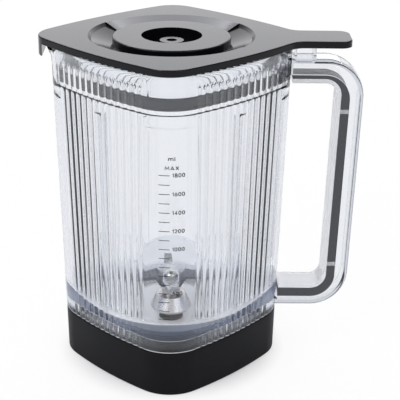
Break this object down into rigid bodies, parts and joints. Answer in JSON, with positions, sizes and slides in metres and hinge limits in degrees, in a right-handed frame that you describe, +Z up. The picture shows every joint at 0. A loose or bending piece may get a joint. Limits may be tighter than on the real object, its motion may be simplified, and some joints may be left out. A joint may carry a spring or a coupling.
{
  "type": "blender jar",
  "caption": "Square clear blender jar with reeded sides and bowl floor, side handle, black drive collar, blade unit, and a sealed lid with thumb tab and filler cap.",
  "frame": {"origin": "centre of the drive socket, on the plane that the collar stands on", "axes": "+Z up along the jar's axis, +X towards the handle, -Y towards the corner panel with the scale"},
  "size_m": [0.2232, 0.1736, 0.238],
  "materials": {
    "clear_plastic": "clear moulded plastic",
    "black_plastic": "satin",
    "drive_plastic": "matte",
    "grey_insert": "satin",
    "grey_seal": "matte",
    "black_seal": "matte",
    "stainless": "polished",
    "blade_steel": "ground",
    "bronze": "sintered"
  },
  "bodies": {
    "jar": {"jar_body": "clear_plastic", "base_collar": "black_plastic", "collar_screws": "stainless", "handle_frame": "clear_plastic", "handle_core": "grey_insert", "handle_cover": "clear_plastic", "floor_gasket": "black_seal", "bearing_housing": "stainless", "lock_washer": "stainless", "retaining_nut": "stainless", "lower_bush": "bronze", "upper_bush": "bronze", "shaft_seal": "black_seal"},
    "rotor": {"shaft": "stainless", "circlip": "stainless", "thrust_washer": "stainless", "blade_spacer": "stainless", "lower_blade": "blade_steel", "blade_washer": "stainless", "upper_blade": "blade_steel", "blade_nut": "stainless", "drive_coupling": "drive_plastic"},
    "lid": {"lid_cover": "black_plastic", "lid_skirt": "clear_plastic", "lid_gasket": "grey_seal"},
    "cap": {"filler_cap": "black_plastic", "cap_gasket": "grey_seal"}
  },
  "joints": [
    {"name": "blade_spin", "type": "hinge", "parent": "jar", "child": "rotor", "pos_m": [0, 0, 0], "axis": [0, 0, 1], "continuous": true},
    {"name": "lid_lift", "type": "slide", "parent": "jar", "child": "lid", "axis": [0, 0, 1], "range_m": [0, 0.04]},
    {"name": "cap_lift", "type": "slide", "parent": "lid", "child": "cap", "axis": [0, 0, 1], "range_m": [0, 0.03]}
  ]
}
